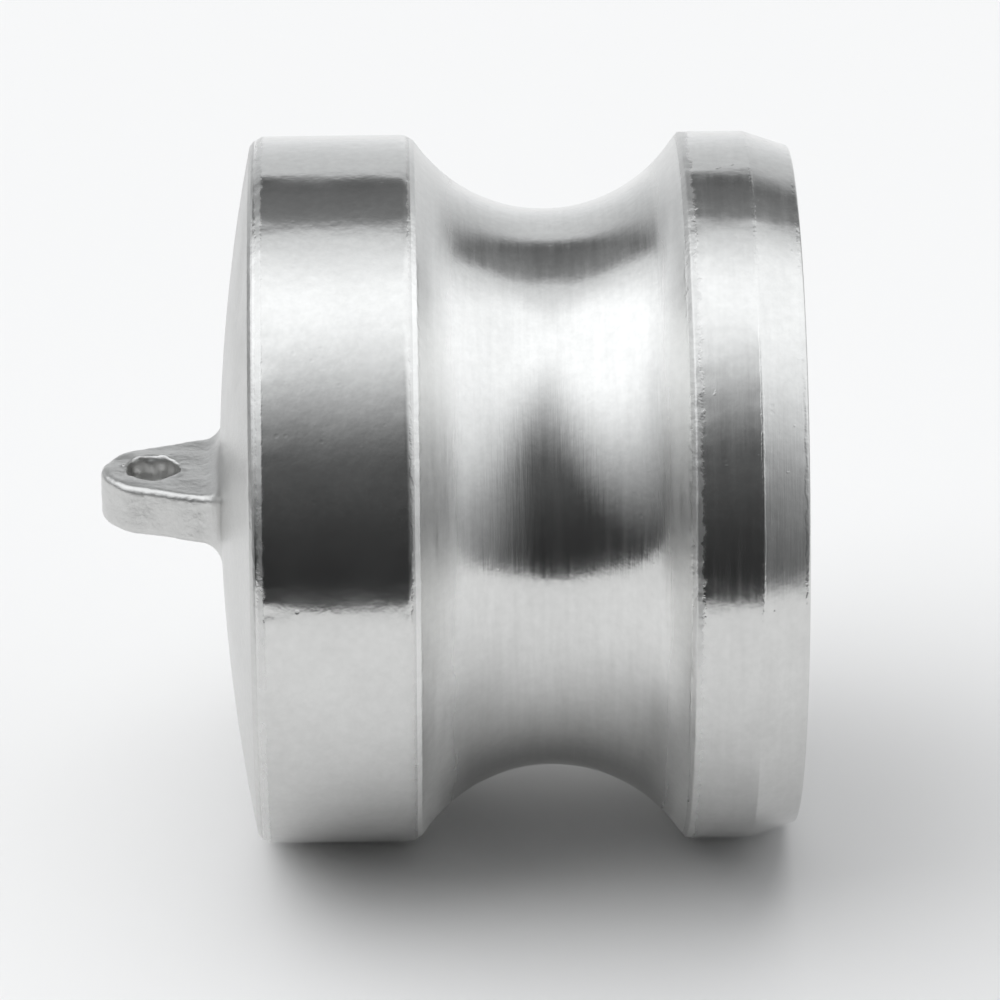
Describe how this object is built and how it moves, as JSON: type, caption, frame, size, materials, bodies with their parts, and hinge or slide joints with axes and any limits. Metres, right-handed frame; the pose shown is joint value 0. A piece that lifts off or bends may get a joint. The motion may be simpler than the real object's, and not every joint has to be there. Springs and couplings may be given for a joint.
{
  "type": "cam and groove dust plug",
  "caption": "Stainless steel male dust plug with a cam groove round its body, a hollow nose with a flat sealing face and a pierced chain lug on its domed back.",
  "frame": {"origin": "centre of the bounding box, on the plug's axis", "axes": "+X along the plug's axis, out of its sealing face; +Z square to the lug's flat faces, upward as the plug lies on its side"},
  "size_m": [0.0614, 0.063, 0.063],
  "materials": {
    "stainless_steel": "investment-cast stainless steel: turned groove and nose, ground collar, as-cast lug and domed back"
  },
  "bodies": {
    "root": {"dust_plug": "stainless_steel"}
  },
  "joints": []
}
